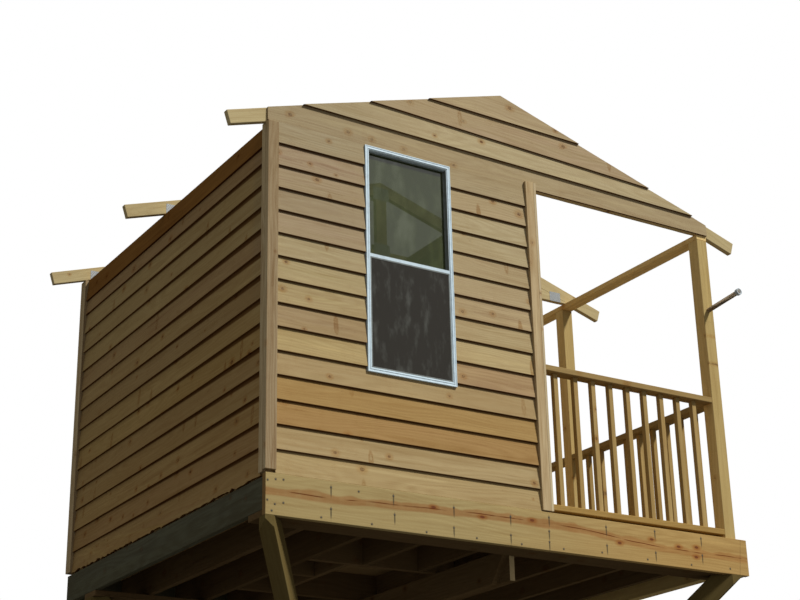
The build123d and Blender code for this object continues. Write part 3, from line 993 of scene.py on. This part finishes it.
glass = Finish("window_panes")
ripple = glass.speckle(glass.place(), 2.5, 1.0)
smears_and_reflections = glass.speckle(glass.vector("MULTIPLY", glass.place(), (1.0, 1.0, 0.45)), 7.0, 4.0, 0.6)
# Painted reflection and painted shade: the panes' dark olive tones stand for the trees and the dark room seen
# in the glass, in patches that also stand for smears.
pane_colour = glass.blend(smears_and_reflections.within(0.44, 0.66), paint(54, 61, 30), paint(70, 78, 44))
pane_alpha = 0.80 - smears_and_reflections.within(0.50, 0.70) * 0.05
sheen = {"Alpha": pane_alpha, "Specular_IOR_Level": 0.2}
panes = glass.surface(pane_colour, ripple * 0.02 + 0.03, ripple, 0.002, 0.1, **sheen)
hand_over(sawn_copy("panes", "window_glass", 0.0005), panes, "window_glass", "window_glass")

screen = Finish("screen_mesh")
x, _, z = screen.axes(screen.place())
weave = (x * 2100.0).wave() * (z * 2100.0).wave()
# Lighter upright marks on the dark screen.
stretched_place = screen.vector("MULTIPLY", screen.place(), (1.0, 1.0, 0.4))
cloud = screen.speckle(stretched_place, 16.0, 3.0, 0.6)
screen_colour = screen.blend(cloud.within(0.48, 0.78), paint(42, 39, 33), paint(74, 74, 68))
mesh_finish = screen.surface(screen_colour, 0.8, weave, 0.0003, 0.3, Alpha=0.97, Specular_IOR_Level=0.15)
hand_over(sawn_copy("screen", "window_screen", 0.0005), mesh_finish, "insect_screen", "window_screen")


# Small metal: nails, and the cap on the peg

def nail_heads(name, places):
    """Round heads that face the front, modelled once and copied."""
    bpy.ops.object.select_all(action="DESELECT")
    bpy.ops.mesh.primitive_cylinder_add(vertices=12, radius=0.0045, depth=0.003, location=(0, 0, 0))
    head = bpy.context.object
    choose(head, "FACE", lambda f: f.normal.z > 0.9)
    bpy.ops.mesh.inset(thickness=0.0015, depth=0.0006)
    close()
    heads = []
    for x, z in places:
        copy = bpy.data.objects.new(name, head.data.copy())
        bpy.context.scene.collection.objects.link(copy)
        copy.rotation_euler = Vector((0, -1, 0)).to_track_quat("Z", "Y").to_euler()
        copy.location = CORNER + Vector((x, 0.0003, z))
        only(copy)
        bpy.ops.object.transform_apply(location=True, rotation=True, scale=True)
        heads.append(copy)
    bpy.data.objects.remove(head)
    return join(name, heads)


nail_steel = metal("nail_steel", (62, 58, 50), 0.6, 0.7)
hand_over(nail_heads("front_board_nails", STREAKED_NAILS + PLAIN_NAILS), nail_steel, "nail_plate")

# The peg starts on the front post's face and leans up a little
peg_start = CORNER + Vector((3.4055, STUD_FACE, 1.828))
lean = math.radians(84)
peg_length = 0.300
cap_place = peg_start + peg_length * Vector((0, -math.sin(lean), math.cos(lean)))
bpy.ops.object.select_all(action="DESELECT")
bpy.ops.mesh.primitive_cylinder_add(vertices=40, radius=0.023, depth=0.024, location=cap_place)
cap = bpy.context.object
cap.name = cap.data.name = "peg_cap"
cap.rotation_euler = (lean, 0, 0)
bpy.ops.object.transform_apply(location=True, rotation=True, scale=True)
choose(cap, "FACE", lambda f: f.normal.y < -0.9)
bpy.ops.mesh.inset(thickness=0.004, depth=0)
bpy.ops.mesh.inset(thickness=0.002, depth=-0.003)
close()
ease(cap, 0.0012)
hand_over(cap, metal("peg_cap_metal", (168, 180, 186), 0.5, 0.8), "nail_plate")


# Nail plates: galvanised steel pressed full of slots

plates = Finish("galvanised_plates")
x, _, z = plates.axes(plates.place())
slots = ((x * 420.0).wave() * (z * 300.0).wave()).within(0.35, 0.6)
zinc = plates.speckle(plates.place(), 60.0, 3.0)
steel = plates.blend(zinc, paint(118, 122, 122), paint(150, 154, 154))
steel = plates.blend(slots * 0.65, steel, paint(84, 80, 70))
plate_steel = plates.surface(steel, zinc * 0.2 + 0.4, slots * -1.0, 0.001, 0.6, Metallic=0.2)
nail_plates = sawn_copy("nail_plates", "truss_nail_plates", 0.0004)
hand_over(nail_plates, plate_steel, "nail_plate", "truss_nail_plates")


# Studio

def seen_or_mirrored(nodes, links):
    """1 for what the camera sees, straight, in a gloss or through glass, and 0 for plain light."""
    rays = nodes.new("ShaderNodeLightPath")
    first = rays.outputs["Is Camera Ray"]
    for name in ("Is Glossy Ray", "Is Transmission Ray"):
        either = nodes.new("ShaderNodeMath")
        either.operation = "MAXIMUM"
        links.new(first, either.inputs[0])
        links.new(rays.outputs[name], either.inputs[1])
        first = either.outputs[0]
    return first


def studio_floor(level=-2.30):
    """A pale floor that keeps the shadow and throws little light back up."""
    bpy.ops.object.select_all(action="DESELECT")
    bpy.ops.mesh.primitive_plane_add(size=80, location=(0, 0, level))
    floor = bpy.context.object
    floor.name = "studio_floor"
    finish = Finish("studio_floor")
    haze = finish.speckle(finish.place(), 0.5, 1.0)
    pale = finish.blend(haze, (0.64, 0.64, 0.63, 1), (0.66, 0.66, 0.65, 1))
    seen = Number(finish, seen_or_mirrored(finish.tree.nodes, finish.tree.links))
    floor.data.materials.append(finish.surface(finish.blend(seen, (0.10, 0.095, 0.085, 1), pale), 0.9))


def sun(energy, spread, towards):
    """Light from far away that comes from the way given, spread over some degrees."""
    bpy.ops.object.light_add(type="SUN", location=(0, 0, 6))
    lamp = bpy.context.object
    lamp.data.energy = energy
    lamp.data.angle = math.radians(spread)
    lamp.rotation_mode = "QUATERNION"
    lamp.rotation_quaternion = Vector(towards).to_track_quat("Z", "Y")


studio_floor()
sun(4.0, 7, (0.38, -0.54, 0.75))
sun(1.1, 50, (0.05, 0.88, 0.45))

# The world is white to the camera, in gloss and through glass, and gives soft light at a lower level
world = bpy.data.worlds.new("studio_world")
bpy.context.scene.world = world
world.use_nodes = True
nodes, links = world.node_tree.nodes, world.node_tree.links
level = nodes.new("ShaderNodeMapRange")
level.inputs["To Min"].default_value = 0.26
level.inputs["To Max"].default_value = 1.0
links.new(seen_or_mirrored(nodes, links), level.inputs["Value"])
links.new(level.outputs[0], nodes["Background"].inputs["Strength"])
nodes["Background"].inputs["Color"].default_value = (1, 1, 1, 1)

# The camera stands where the photo was taken from
camera = bpy.data.objects.new("camera", bpy.data.cameras.new("camera"))
bpy.context.scene.collection.objects.link(camera)
camera.data.lens = 72.947
camera.data.sensor_width = 36.0
right = Vector((0.84689, -0.53137, -0.02089))
up = Vector((-0.18068, -0.32448, 0.92848))
back = right.cross(up)
turn = Matrix((right, up, back)).transposed().to_4x4()
camera.matrix_world = Matrix.Translation((-5.678307, -9.006095, -2.117619)) @ turn
bpy.context.scene.camera = camera
bpy.context.scene.view_settings.view_transform = "Standard"
